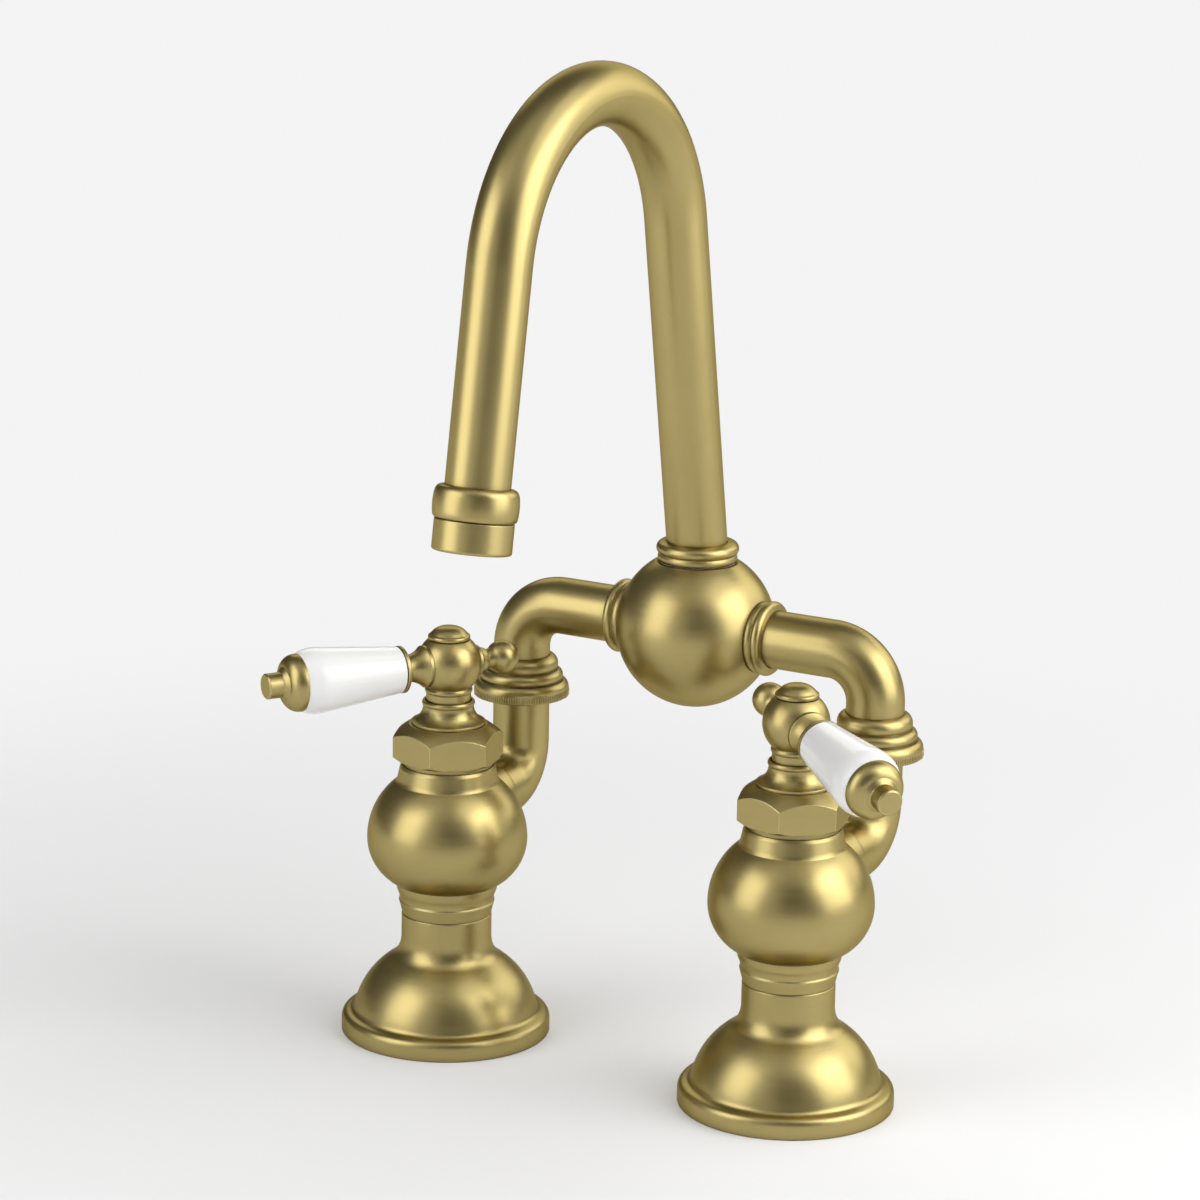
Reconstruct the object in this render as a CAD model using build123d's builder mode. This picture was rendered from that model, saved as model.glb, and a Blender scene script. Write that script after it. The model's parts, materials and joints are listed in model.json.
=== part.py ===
from build123d import *
from math import asin, cos, degrees, radians, sin, sqrt
import os

# Bridge basin tap with two posts, a raised bridge, a gooseneck spout and two lever handles.
# Millimetres. X runs from the left post to the right post, -Y points to the user, +Z is up.
# The origin lies on the deck, midway between the two posts.

# Layout of the whole tap
post_spacing = 101.6
bridge_set_back = 40.2
bridge_rise = 26.2
union_toe_out = 2.0
port_lift = 5.6
fit = 0.05
running_fit = 0.05
free_gap = 0.3
wall_lap = 1.0
left, right = -1, 1
side_names = {left: "left", right: "right"}
up = Vector(0, 0, 1)

# Foot under each post
foot_radius = 27.5
foot_edge = 0.5
rim_height = 2.9
ledge = (26.4, 5.3)
dome_foot = (23.8, 6.3)
dome_skirt = (22.6, 10.6)
dome_shoulder = (20.1, 14.9)
dome_top = (13.4, 21.2)
foot_neck_radius = 11.85
foot_neck_base = 23.2
foot_height = 32.4
foot_wall = 2.8
gasket_outer_radius = 25.2
gasket_width = 3.4
gasket_thickness = 2.0
inlet_radius = 9.3
inlet_depth = 13.0
inlet_lift = 1.0
inlet_boss_radius = 13.0
inlet_boss_top = 16.5
inlet_waterway_radius = 6.0

# Valve body above the foot
tail_radius = 8.85
tail_length = 10.4
waterway_radius = 5.0
cup_base_radius = 11.7
cup_lip_radius = 12.6
cup_lip_rise = 3.4
cup_groove_depth = 0.25
cup_groove_height = 0.35
cup_bead_radius = 13.15
cup_bead_rise = 3.4
cup_bead_edge = 0.84
bulb_foot_radius = 13.2
bulb_foot_rise = 1.4
bulb_radius = 21.0
bulb_rise = 12.4
bulb_crown_radius = 13.6
bulb_crown_rise = 15.1
body_neck_radius = 13.15
body_neck_rise = 1.1
body_rim_radius = 12.55
body_rim_rise = 2.9
body_rim_edge = 0.8
relief_radius = 11.7
relief_height = 1.4
thread_radius = 10.9
thread_height = 3.0
cartridge_bore_radius = 9.0
chamber_radius = 14.0
chamber_depth_below = 5.2
chamber_height_above = 8.0

# Ceramic disc cartridge inside the valve body
cartridge_radius = 8.9
cartridge_lift = 1.2
cartridge_cup_radius = 7.6
cartridge_cup_depth = 11.0
cartridge_flange_radius = 10.6
cartridge_flange_thickness = 2.0
cartridge_sleeve_radius = 7.0
cartridge_sleeve_rise = 8.7
cartridge_window_width = 7.0
cartridge_window_height = 5.0
seal_radius = 7.4
seal_thickness = 3.55
disc_thickness = 2.75
disc_radius = 7.5
disc_lap = 0.05
disc_port_radius = 2.1
disc_port_reach = 4.2
spindle_radius = 3.0
spindle_flange_radius = 7.2
spindle_flange_thickness = 2.5
spindle_top_gap = 0.2
spindle_ring_rise = 4.7
spindle_ring_wire = 0.6

# Hexagon bonnet nut and the bell above it
nut_across_flats = 25.4
nut_turn = -17.0
nut_foot_chamfer = 0.9
nut_side_height = 5.3
nut_chamfer_angle = 31.0
nut_shoulder_radius = 12.8
nut_shoulder_rise = 1.6
nut_top_rise = 3.4
nut_top_radius = 10.2
bell_foot_radius = 9.6
bell_foot_edge = 0.7
bell_throat_radius = 6.6
bell_throat_rise = 4.9
bell_collar_radius = 6.9
bell_collar_height = 1.4
bell_recess_depth = 0.9
bell_web_gap = 0.2

# Lever handles
handle_rise = 9.6
left_lever_turn = 58.0
right_lever_turn = 36.5
left_lever_droop = 0.5
right_lever_droop = 7.0
hub_radius = 8.5
hub_neck_radius = 5.85
hub_neck_gap = 0.2
hub_bead_radius = 6.2
hub_bead_lift = 2.0
hub_top_rise = 6.5
hub_web_drop = 1.6
hub_web_thickness = 2.8
hub_socket_radius = 4.0
screw_radius = 1.95
screw_length = 10.0
screw_head_radius = 3.4
screw_head_height = 2.6
screw_slot_width = 0.9
cap_radius = 5.0
cap_edge = 1.1
cap_crown = 3.5
cap_plug_depth = 2.0
arm_seat = 6.6
counter_seat = 7.3
arm_root = 4.2
arm_root_radius = 2.9
arm_flare_radius = 5.5
arm_flare_width = 0.9
arm_neck_radius = 3.5
arm_neck_length = 4.8
arm_neck_lip = 0.5
ferrule_radius = 6.15
ferrule_shoulder = 0.9
ferrule_width = 1.1
ferrule_bevel = 0.4
ferrule_edge = 0.3
rod_radius = 2.2
rod_end_length = 3.8
grip_bore_radius = 2.6
grip_small_radius = 6.1
grip_edge = 0.5
grip_taper_radius = 8.5
grip_taper_length = 22.7
grip_end_radius = 7.5
grip_round_length = 5.6
finial_rim_radius = 7.45
finial_rim_width = 0.5
finial_waist_radius = 4.4
finial_bell_length = 4.1
finial_throat_radius = 3.7
finial_throat_length = 1.0
finial_throat_sag = 0.15
knob_radius = 3.3
knob_edge = 0.3
knob_length = 4.1
counter_flange_radius = 3.9
counter_neck_radius = 2.3
counter_ball_radius = 4.4
counter_ball_reach = 15.5

# Bent side tubes, unions and the bridge
tube_radius = 7.54
tube_bore_radius = 6.0
side_bend_radius = 11.1
elbow_bend_radius = 12.5
port_boss_radius = 9.4
port_boss_edge = 0.5
port_collar_radius = 8.8
port_collar_width = 1.2
port_seat = 21.3
port_socket_depth = 4.5
union_rise = 23.5
union_rim_radius = 12.65
union_band_height = 2.4
union_edge = 0.4
union_step_rise = 2.0
union_bead_radius = 11.1
union_bead_height = 2.9
union_top_bead_radius = 9.76
union_top_bead_height = 4.0
union_crown_inset = 0.6
union_crown_drop = 0.8
union_thread_radius = 10.4
union_spigot_height = 3.3
union_washer_thickness = 0.6
elbow_flange_radius = 9.0
elbow_flange_thickness = 1.6
ball_radius = 20.9
ball_cavity_radius = 16.8
ball_flat_radius = 11.0
elbow_socket_reach = 13.5
elbow_collar_radius = 9.75
elbow_collar_lip_radius = 9.3
elbow_collar_lip_width = 1.92
elbow_collar_lip_edge = 0.2
elbow_collar_groove = 0.4
elbow_collar_bead_width = 2.88
elbow_collar_bead_edge = 0.4
elbow_collar_crown_inset = 0.9

# Gooseneck spout
spout_radius = 7.94
spout_bore_radius = 6.4
spout_set_radius = 24.0
riser_lean = 10.0
riser_length = 88.7
arch_radius = 43.2
leg_splay = 9.5
leg_length = 52.1
leg_tail = 6.0
socket_radius = 7.25
socket_boss_radius = 10.4
socket_depth = 13.3
stem_bottom_gap = 0.3
stem_bore_radius = 4.8
stem_spigot_height = 1.5
glide_ring_radius = 10.0
glide_ring_recess = 0.6
glide_ring_thickness = 0.9
stem_ring_wire = 0.6
stem_ring_drops = (7.1, 10.6)
stop_groove_drop = 3.6
stop_groove_width = 3.6
stop_groove_depth = 0.9
stop_screw_radius = 1.95
stop_screw_tip_radius = 1.5
stop_screw_length = 6.2
swivel_each_way = 90.0
spout_collar_radius = 10.8
spout_collar_lip_radius = 10.4
spout_collar_lip_height = 1.87
spout_collar_edge = 0.3
spout_collar_bead_height = 3.33
spout_collar_bead_rise = 1.47
spout_collar_crown_inset = 1.2

# Outlet at the end of the spout
outlet_collar_radius = 10.43
outlet_collar_top_radius = 8.7
outlet_collar_shoulder = (9.93, 1.6)
outlet_collar_belly = 4.16
outlet_collar_skirt = (10.18, 6.36)
outlet_collar_length = 8.0
outlet_spigot_radius = 8.3
outlet_spigot_length = 3.0
housing_radius = 9.65
housing_length = 7.7
housing_edge = 0.7
housing_top_edge = 0.2
housing_lip_radius = 7.6
housing_lip_thickness = 0.9
insert_radius = 8.1
insert_height = 2.6
screen_hole_radius = 0.85
screen_inner_count = 6
screen_inner_radius = 2.6
screen_outer_count = 12
screen_outer_radius = 5.2

# Heights over the deck, each piece stacked on the one that carries it
tail_bottom = foot_height - tail_length
cup_lip_height = foot_height + cup_lip_rise
cup_bead_height = cup_lip_height + cup_bead_rise
bulb_foot_height = cup_bead_height + bulb_foot_rise
bulb_height = bulb_foot_height + bulb_rise
bulb_crown_height = bulb_height + bulb_crown_rise
body_neck_base = bulb_crown_height + body_neck_rise
body_rim_height = body_neck_base + body_rim_rise
nut_bottom = body_rim_height + body_rim_edge + relief_height
body_top = nut_bottom + thread_height
chamber_bottom = bulb_height - chamber_depth_below
chamber_top = bulb_height + chamber_height_above
cartridge_bottom = chamber_bottom + cartridge_lift
cartridge_cup_top = cartridge_bottom + cartridge_cup_depth
cartridge_sleeve_top = body_top + cartridge_sleeve_rise
spindle_ring_height = body_top + spindle_ring_rise
disc_seat_height = chamber_bottom + seal_thickness
disc_split = disc_seat_height + disc_thickness
spindle_bottom = disc_split + disc_lap + disc_thickness + disc_lap
nut_corner_bottom = nut_bottom + nut_foot_chamfer
nut_corner_top = nut_corner_bottom + nut_side_height
nut_shoulder_height = nut_corner_top + nut_shoulder_rise
nut_top = nut_corner_top + nut_top_rise
bell_throat_height = nut_top + bell_throat_rise
bell_top = bell_throat_height + bell_collar_height
bell_web_bottom = cartridge_sleeve_top + bell_web_gap
hub_neck_bottom = bell_top - bell_recess_depth + hub_neck_gap
hub_bead_bottom = bell_top + hub_bead_lift
handle_height = bell_top + handle_rise
hub_top = handle_height + hub_top_rise
hub_web_bottom = handle_height - hub_web_drop
hub_web_top = hub_web_bottom + hub_web_thickness
screw_bottom = hub_web_top - screw_length
spindle_top = hub_web_bottom - spindle_top_gap
port_height = bulb_height + port_lift
union_bottom = port_height + union_rise
union_band_top = union_bottom + union_band_height
union_step_height = union_band_top + union_step_rise
union_mid_height = union_step_height + union_bead_height
union_top = union_mid_height + union_top_bead_height
union_spigot_top = union_bottom + union_spigot_height
union_shoulder = union_spigot_top + union_washer_thickness + elbow_flange_thickness + fit
bridge_height = union_bottom + bridge_rise
ball_flat_height = bridge_height + sqrt(ball_radius**2 - ball_flat_radius**2)
spout_base = ball_flat_height - glide_ring_recess + glide_ring_thickness

# Reaches along a lever, measured from the middle of its hub
arm_neck_reach = arm_seat + arm_flare_width + arm_neck_length
ferrule_reach = arm_neck_reach + ferrule_shoulder
grip_start = ferrule_reach + ferrule_width
grip_taper_end = grip_start + grip_taper_length
grip_reach = grip_taper_end + grip_round_length
rod_reach = grip_reach + rod_end_length
finial_waist_reach = grip_reach + finial_bell_length
knob_base = finial_waist_reach + finial_throat_length
knob_reach = knob_base + knob_length

# Places beside the posts and angles
post_x = post_spacing / 2
union_x = post_x + union_toe_out
port_reach = sqrt(bridge_set_back**2 + union_toe_out**2)
elbow_collar_seat = sqrt(ball_radius**2 - elbow_collar_lip_radius**2)
lever_turns = {left: left_lever_turn, right: right_lever_turn}
lever_droops = {left: left_lever_droop, right: right_lever_droop}


def turning_plane(origin, along):
    """Plane whose Y runs along the axis of a turned piece and whose X is its radius."""
    across = Vector(1, 0, 0) if along == up else up.cross(along).normalized()
    return Plane(origin=origin, x_dir=across, z_dir=across.cross(along))


def post_foot(side):
    """Point on the deck under one post."""
    return Vector(side * post_x, 0, 0)


def port_direction(side):
    """Direction from a post's axis to the union behind it."""
    return Vector(side * union_toe_out, bridge_set_back, 0).normalized()


def port_origin(side):
    """Point on the post's axis where the side port leaves."""
    return post_foot(side) + up * port_height


def lever_direction(side):
    """Direction in which a lever points: outward, turned to the front and drooping."""
    turn = radians(lever_turns[side])
    droop = radians(lever_droops[side])
    return Vector(side * cos(turn) * cos(droop), -sin(turn) * cos(droop), -sin(droop))


def handle_centre(side):
    """Centre of a handle's hub."""
    return post_foot(side) + up * handle_height


def bridge_centre():
    """Centre of the ball in the middle of the bridge."""
    return Vector(0, bridge_set_back, bridge_height)


def save(part, name):
    """Label one finished piece and write it to its own file."""
    part.label = name
    export_step(part, f"parts/{name}.step")
    return part


def base_flange(side):
    """Turned foot: stepped rim, hollow dome and neck round a threaded inlet boss."""
    plane = turning_plane(post_foot(side), up)
    inner_foot = gasket_outer_radius - gasket_width
    with BuildPart() as flange:
        with BuildSketch(plane):
            with BuildLine():
                rim = Polyline(
                    (gasket_outer_radius, 0),
                    (foot_radius - foot_edge, 0),
                    (foot_radius, foot_edge),
                    (foot_radius, rim_height),
                )
                roll = TangentArc(rim @ 1, ledge, tangent=(0, 1))
                cove = Polyline(roll @ 1, (dome_foot[0] + foot_edge, ledge[1]), dome_foot)
                skirt = ThreePointArc(cove @ 1, dome_skirt, dome_shoulder)
                dome = TangentArc(skirt @ 1, dome_top, tangent=skirt % 1)
                fillet_top = (foot_neck_radius, foot_neck_base)
                neck_cove = RadiusArc(dome @ 1, fillet_top, foot_neck_base - dome_top[1])
                neck = Polyline(
                    neck_cove @ 1,
                    (foot_neck_radius, foot_height - foot_edge),
                    (foot_neck_radius - foot_edge, foot_height),
                    (tail_radius + fit, foot_height),
                    (tail_radius + fit, tail_bottom - fit),
                    (inlet_waterway_radius, tail_bottom - fit),
                    (inlet_waterway_radius, inlet_lift + inlet_depth),
                    (inlet_radius, inlet_lift + inlet_depth),
                    (inlet_radius, inlet_lift),
                    (inlet_boss_radius, inlet_lift),
                    (inlet_boss_radius, inlet_boss_top),
                )
                inner_dome = ThreePointArc(
                    neck @ 1,
                    (dome_shoulder[0] - foot_wall, dome_shoulder[1] - foot_wall),
                    (inner_foot, dome_foot[1]),
                )
                Polyline(
                    inner_dome @ 1,
                    (inner_foot, gasket_thickness),
                    (gasket_outer_radius, gasket_thickness),
                    (gasket_outer_radius, 0),
                )
            make_face()
        revolve(axis=Axis(post_foot(side), up))
    return save(flange.part, f"{side_names[side]}_base_flange")


def base_gaskets():
    """Rubber rings in the recesses under the rims of the two feet."""
    with BuildPart() as gaskets:
        with BuildSketch(Plane.XY):
            with Locations(post_foot(left), post_foot(right)):
                Circle(gasket_outer_radius - fit)
                Circle(gasket_outer_radius - gasket_width + fit, mode=Mode.SUBTRACT)
        extrude(amount=gasket_thickness)
    return save(gaskets.part, "base_gaskets")


def valve_body(side):
    """Cast body: tail, cup with its mouldings, bulb, neck, threaded top and side port."""
    foot = post_foot(side)
    plane = turning_plane(foot, up)
    bulb_widest = (bulb_radius, bulb_height)
    bulb_crown = (bulb_crown_radius, bulb_crown_height)
    neck_base = (body_neck_radius, body_neck_base)
    neck_rim = (body_rim_radius, body_rim_height)
    neck_slope = (body_neck_radius - body_rim_radius, body_neck_base - body_rim_height)
    with BuildPart() as body:
        with BuildSketch(plane):
            with BuildLine():
                tail = Polyline(
                    (waterway_radius, tail_bottom),
                    (tail_radius, tail_bottom),
                    (tail_radius, foot_height + fit),
                    (cup_base_radius, foot_height + fit),
                    (cup_lip_radius, cup_lip_height),
                    (cup_lip_radius - cup_groove_depth, cup_lip_height + cup_groove_height),
                )
                cove_end = (cup_bead_radius - cup_groove_depth, cup_bead_height - cup_bead_edge)
                cup_cove = TangentArc(tail @ 1, cove_end, tangent=(0, 1))
                bead = ThreePointArc(
                    cup_cove @ 1,
                    (cup_bead_radius, cup_bead_height),
                    (bulb_foot_radius, bulb_foot_height),
                )
                lower = TangentArc(bulb_widest, bead @ 1, tangent=(0, -1))
                upper = TangentArc(bulb_widest, bulb_crown, tangent=(0, 1))
                TangentArc(neck_base, upper @ 1, tangent=neck_slope)
                Polyline(
                    neck_base,
                    neck_rim,
                    (body_rim_radius - body_rim_edge / 2, body_rim_height + body_rim_edge),
                    (relief_radius, body_rim_height + body_rim_edge),
                    (relief_radius, nut_bottom),
                    (thread_radius, nut_bottom),
                    (thread_radius, body_top),
                    (cartridge_bore_radius, body_top),
                    (cartridge_bore_radius, chamber_top),
                    (chamber_radius, chamber_top),
                    (chamber_radius, chamber_bottom),
                    (waterway_radius, chamber_bottom),
                    (waterway_radius, tail_bottom),
                )
            make_face()
        revolve(axis=Axis(foot, up))
        port = port_direction(side)
        with BuildSketch(Plane(port_origin(side) + port * chamber_radius, z_dir=port)):
            Circle(port_boss_radius)
        extrude(amount=port_seat - chamber_radius)
        fillet(body.edges().sort_by(Axis(port_origin(side), port))[-1], port_boss_edge)
        with BuildSketch(Plane(port_origin(side) + port * (chamber_radius - wall_lap), z_dir=port)):
            Circle(tube_bore_radius)
        extrude(amount=bulb_radius, mode=Mode.SUBTRACT)
        with BuildSketch(Plane(port_origin(side) + port * (port_seat - port_socket_depth), z_dir=port)):
            Circle(tube_radius + fit)
        extrude(amount=bulb_radius, mode=Mode.SUBTRACT)
    return save(body.part, f"{side_names[side]}_valve_body")


def port_collar(side):
    """Small ring that trims the side tube where it enters the bulb."""
    origin, port = port_origin(side), port_direction(side)
    front = port_seat + port_collar_width
    with BuildPart() as collar:
        with BuildSketch(turning_plane(origin, port)):
            with BuildLine():
                wall = Polyline(
                    (tube_radius + fit, front),
                    (tube_radius + fit, port_seat),
                    (port_collar_radius, port_seat),
                    (port_collar_radius, front - port_collar_width / 3),
                )
                TangentArc(wall @ 1, wall @ 0, tangent=(0, 1))
            make_face()
        revolve(axis=Axis(origin, port))
    return save(collar.part, f"{side_names[side]}_port_collar")


def side_tube(side):
    """Tube that leaves the bulb to the back, bends up and ends in the union's spigot."""
    port = port_direction(side)
    plane = Plane(post_foot(side), x_dir=port, z_dir=port.cross(up))
    start = port_seat - port_socket_depth + fit
    with BuildPart() as tube:
        with BuildLine(plane) as route:
            FilletPolyline(
                (start, port_height),
                (port_reach, port_height),
                (port_reach, union_spigot_top),
                radius=side_bend_radius,
            )
        with BuildSketch(Plane(route.line @ 0, z_dir=route.line % 0)):
            Circle(tube_radius)
            Circle(tube_bore_radius, mode=Mode.SUBTRACT)
        sweep()
    return save(tube.part, f"{side_names[side]}_side_tube")


def union_axis_foot(side):
    """Point on the deck under one union."""
    return Vector(side * union_x, bridge_set_back, 0)


def union_spigot(side):
    """Threaded ring brazed on the top of the side tube, inside the union nut."""
    bottom = union_bottom + free_gap
    with BuildPart() as spigot:
        with BuildSketch(Plane(union_axis_foot(side) + up * bottom)):
            Circle(union_thread_radius)
            Circle(tube_radius + fit, mode=Mode.SUBTRACT)
        extrude(amount=union_spigot_top - bottom)
    return save(spigot.part, f"{side_names[side]}_union_spigot")


def union_washers():
    """Fibre washers between the spigots and the flanges of the elbows."""
    with BuildPart() as washers:
        with BuildSketch(Plane.XY.offset(union_spigot_top)):
            with Locations(union_axis_foot(left), union_axis_foot(right)):
                Circle(elbow_flange_radius)
                Circle(tube_bore_radius, mode=Mode.SUBTRACT)
        extrude(amount=union_washer_thickness)
    return save(washers.part, "union_washers")


def union_nut(side):
    """Stepped union nut: straight rim band at the bottom, shoulder and two round beads."""
    foot = union_axis_foot(side)
    bore = tube_radius + fit
    bead_middle = (union_step_height + union_mid_height) / 2 - union_edge
    top_bead_middle = (union_mid_height + union_top - union_crown_drop) / 2
    with BuildPart() as nut:
        with BuildSketch(turning_plane(foot, up)):
            with BuildLine():
                band = Polyline(
                    (union_thread_radius + fit, union_bottom),
                    (union_rim_radius - union_edge, union_bottom),
                    (union_rim_radius, union_bottom + union_edge),
                    (union_rim_radius, union_band_top),
                )
                shoulder_end = (union_bead_radius + union_edge, union_step_height)
                shoulder = TangentArc(band @ 1, shoulder_end, tangent=(0, 1))
                step = Line(shoulder @ 1, (union_bead_radius - union_edge, union_step_height))
                bead = ThreePointArc(
                    step @ 1,
                    (union_bead_radius, bead_middle),
                    (union_top_bead_radius + union_edge / 2, union_mid_height),
                )
                groove = Line(bead @ 1, (union_top_bead_radius - union_edge, union_mid_height))
                top_bead = ThreePointArc(
                    groove @ 1,
                    (union_top_bead_radius, top_bead_middle),
                    (union_top_bead_radius - union_crown_inset, union_top - union_crown_drop),
                )
                crown = TangentArc(top_bead @ 1, (bore, union_top), tangent=top_bead % 1)
                Polyline(
                    crown @ 1,
                    (bore, union_shoulder),
                    (union_thread_radius + fit, union_shoulder),
                    (union_thread_radius + fit, union_bottom),
                )
            make_face()
        revolve(axis=Axis(foot, up))
    return save(nut.part, f"{side_names[side]}_union_nut")


def bridge_elbow(side):
    """Elbow from the union up and over into the ball, with a flange under the nut."""
    plane = Plane(Vector(0, bridge_set_back, 0), x_dir=(side, 0, 0), z_dir=(0, -side, 0))
    bottom = union_spigot_top + union_washer_thickness
    with BuildPart() as elbow:
        with BuildLine(plane) as route:
            FilletPolyline(
                (union_x, bottom),
                (union_x, bridge_height),
                (elbow_socket_reach, bridge_height),
                radius=elbow_bend_radius,
            )
        with BuildSketch(Plane(route.line @ 0, z_dir=route.line % 0)):
            Circle(tube_radius)
            Circle(tube_bore_radius, mode=Mode.SUBTRACT)
        sweep()
        with BuildSketch(Plane(union_axis_foot(side) + up * bottom)):
            Circle(elbow_flange_radius)
            Circle(tube_bore_radius, mode=Mode.SUBTRACT)
        extrude(amount=elbow_flange_thickness)
    return save(elbow.part, f"{side_names[side]}_bridge_elbow")


def elbow_collar(side):
    """Ring of a lip, a groove and a bead where an elbow enters the ball."""
    along = Vector(side, 0, 0)
    origin = bridge_centre()
    bore = tube_radius + fit
    groove = elbow_collar_seat + elbow_collar_lip_width
    end = groove + elbow_collar_bead_width
    lip_edge = elbow_collar_lip_radius - elbow_collar_lip_edge
    with BuildPart() as collar:
        with BuildSketch(turning_plane(origin, along)):
            with BuildLine():
                seat = Line((bore, elbow_collar_seat), (lip_edge, elbow_collar_seat))
                lip = ThreePointArc(
                    seat @ 1,
                    (elbow_collar_lip_radius, (elbow_collar_seat + groove) / 2),
                    (elbow_collar_lip_radius - elbow_collar_groove, groove),
                )
                bead = ThreePointArc(
                    lip @ 1,
                    (elbow_collar_radius, (groove + end) / 2),
                    (elbow_collar_radius - elbow_collar_crown_inset, end - elbow_collar_bead_edge),
                )
                crown = TangentArc(bead @ 1, (bore, end), tangent=bead % 1)
                Line(crown @ 1, seat @ 0)
            make_face()
        revolve(axis=Axis(origin, along))
    return save(collar.part, f"{side_names[side]}_elbow_collar")


def cartridge_housing(side):
    """Brass cartridge: cup for the discs with two side windows, flange and top sleeve."""
    foot = post_foot(side)
    flange_top = body_top + cartridge_flange_thickness
    with BuildPart() as housing:
        with BuildSketch(turning_plane(foot, up)):
            with BuildLine():
                Polyline(
                    (cartridge_cup_radius, cartridge_bottom),
                    (cartridge_radius, cartridge_bottom),
                    (cartridge_radius, body_top),
                    (cartridge_flange_radius, body_top),
                    (cartridge_flange_radius, flange_top),
                    (cartridge_sleeve_radius, flange_top),
                    (cartridge_sleeve_radius, cartridge_sleeve_top),
                    (spindle_radius + running_fit, cartridge_sleeve_top),
                    (spindle_radius + running_fit, spindle_ring_height + spindle_ring_wire),
                    (spindle_radius + 2 * spindle_ring_wire, spindle_ring_height + spindle_ring_wire),
                    (spindle_radius + 2 * spindle_ring_wire, spindle_ring_height - spindle_ring_wire),
                    (spindle_radius + running_fit, spindle_ring_height - spindle_ring_wire),
                    (spindle_radius + running_fit, cartridge_cup_top),
                    (cartridge_cup_radius, cartridge_cup_top),
                    close=True,
                )
            make_face()
        revolve(axis=Axis(foot, up))
        window_centre = foot + up * (disc_split + disc_thickness / 2)
        with BuildSketch(Plane(window_centre, x_dir=(1, 0, 0), z_dir=(0, 1, 0))):
            Rectangle(cartridge_window_width, cartridge_window_height)
        extrude(amount=chamber_radius, both=True, mode=Mode.SUBTRACT)
    return save(housing.part, f"{side_names[side]}_cartridge_housing")


def seat_seal(side):
    """Rubber ring that seals the cartridge on the floor of the body."""
    with BuildPart() as seal:
        with BuildSketch(Plane(post_foot(side) + up * chamber_bottom)):
            Circle(seal_radius)
            Circle(waterway_radius, mode=Mode.SUBTRACT)
        extrude(amount=seal_thickness)
    return save(seal.part, f"{side_names[side]}_seat_seal")


def ceramic_disc(side, bottom, radius, name):
    """Ceramic disc with two ports."""
    with BuildPart() as disc:
        with BuildSketch(Plane(post_foot(side) + up * bottom)):
            Circle(radius)
            with PolarLocations(disc_port_reach, 2):
                Circle(disc_port_radius, mode=Mode.SUBTRACT)
        extrude(amount=disc_thickness)
    return save(disc.part, f"{side_names[side]}_{name}")


def valve_spindle(side):
    """Spindle with a driving flange for the moving disc and a threaded hole at the top."""
    foot = post_foot(side)
    with BuildPart() as spindle:
        with BuildSketch(Plane(foot + up * spindle_bottom)):
            Circle(spindle_flange_radius)
        extrude(amount=spindle_flange_thickness)
        with BuildSketch(Plane(foot + up * spindle_bottom)):
            Circle(spindle_radius)
        extrude(amount=spindle_top - spindle_bottom)
        with BuildSketch(Plane(foot + up * (screw_bottom - fit))):
            Circle(screw_radius + fit)
        extrude(amount=spindle_top - screw_bottom + 2 * fit, mode=Mode.SUBTRACT)
    return save(spindle.part, f"{side_names[side]}_valve_spindle")


def spindle_rings():
    """Rubber rings round the two spindles, in the grooves of the cartridges."""
    centre_radius = spindle_radius + running_fit + spindle_ring_wire
    with BuildPart() as rings:
        for side in (left, right):
            with BuildSketch(turning_plane(post_foot(side), up)):
                with Locations((centre_radius, spindle_ring_height)):
                    Circle(spindle_ring_wire - running_fit)
            revolve(axis=Axis(post_foot(side), up))
    return save(rings.part, "spindle_o_rings")


def bonnet_nut(side):
    """Hexagon nut with its corners turned off at both ends and a sloping top."""
    foot = post_foot(side)
    shoulder = (nut_shoulder_radius, nut_shoulder_height)
    corner_radius = nut_across_flats / 2 / cos(radians(30))
    slope = sin(radians(nut_chamfer_angle)) / cos(radians(nut_chamfer_angle))
    bottom_radius = corner_radius - (nut_corner_bottom - nut_bottom) / slope
    flange_top = body_top + cartridge_flange_thickness
    with BuildPart() as nut:
        with BuildSketch(Plane(foot + up * nut_bottom)):
            RegularPolygon(nut_across_flats / 2, 6, major_radius=False, rotation=nut_turn)
        extrude(amount=nut_top - nut_bottom)
        with BuildSketch(turning_plane(foot, up)):
            with BuildLine():
                side_line = Polyline(
                    (0, nut_bottom),
                    (bottom_radius, nut_bottom),
                    (corner_radius, nut_corner_bottom),
                    (corner_radius, nut_corner_top),
                )
                dome = ThreePointArc(side_line @ 1, shoulder, (nut_top_radius, nut_top))
                Polyline(dome @ 1, (0, nut_top), side_line @ 0)
            make_face()
        revolve(axis=Axis(foot, up), mode=Mode.INTERSECT)
        with BuildSketch(Plane(foot + up * nut_bottom)):
            Circle(thread_radius + fit)
        extrude(amount=flange_top + fit - nut_bottom, mode=Mode.SUBTRACT)
        with BuildSketch(Plane(foot + up * nut_bottom)):
            Circle(cartridge_sleeve_radius + fit)
        extrude(amount=nut_top - nut_bottom, mode=Mode.SUBTRACT)
    return save(nut.part, f"{side_names[side]}_bonnet_nut")


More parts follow.
